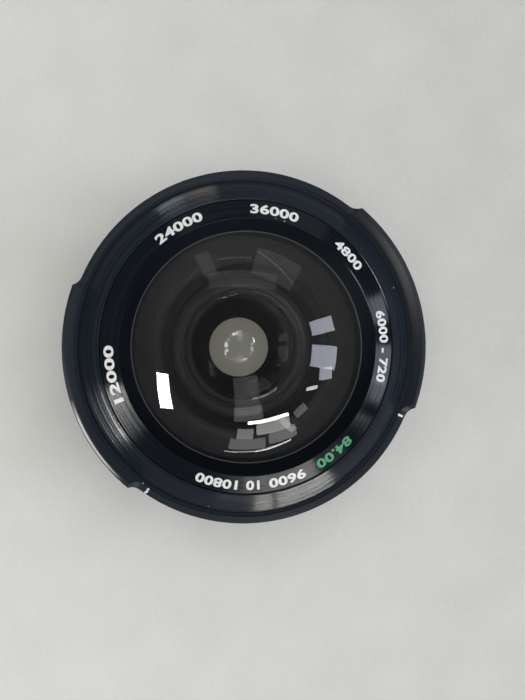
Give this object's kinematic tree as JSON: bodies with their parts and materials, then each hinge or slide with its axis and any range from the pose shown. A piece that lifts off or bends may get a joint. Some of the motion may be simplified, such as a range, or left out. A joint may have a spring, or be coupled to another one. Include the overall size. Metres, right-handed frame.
{
  "type": "wide-angle conversion lens",
  "caption": "Screw-on wide-angle conversion lens: flared round shell with raised shade lips, domed front glass, ribbed grip and a knurled rear ring with a male filter thread.",
  "frame": {"origin": "on the optical axis, in the plane of the rear rim that the lens stands on", "axes": "+Z along the optical axis towards the front glass; the two shade lips lie on +Y and -Y, the milled cut-downs on +X and -X"},
  "size_m": [0.0778, 0.08, 0.0432],
  "materials": {
    "satin_black_metal": "satin black anodised, fine turning lines",
    "ring_black_metal": "satin black anodised, fine turning lines, painted figures",
    "inner_black_metal": "matt black anodised",
    "lens_glass": "polished and coated optical glass, blackened edges",
    "screw_steel": "blackened steel"
  },
  "bodies": {
    "root": {"front_shell": "satin_black_metal", "name_ring": "ring_black_metal", "front_element": "lens_glass", "front_seat_ring": "inner_black_metal", "second_element": "lens_glass", "second_element_ring": "inner_black_metal", "main_barrel": "inner_black_metal", "light_trap_sleeve": "inner_black_metal", "rear_cell": "inner_black_metal", "rear_crown_element": "lens_glass", "rear_flint_element": "lens_glass", "rear_retaining_ring": "inner_black_metal", "adapter_ring": "satin_black_metal", "set_screws": "screw_steel"}
  },
  "joints": []
}
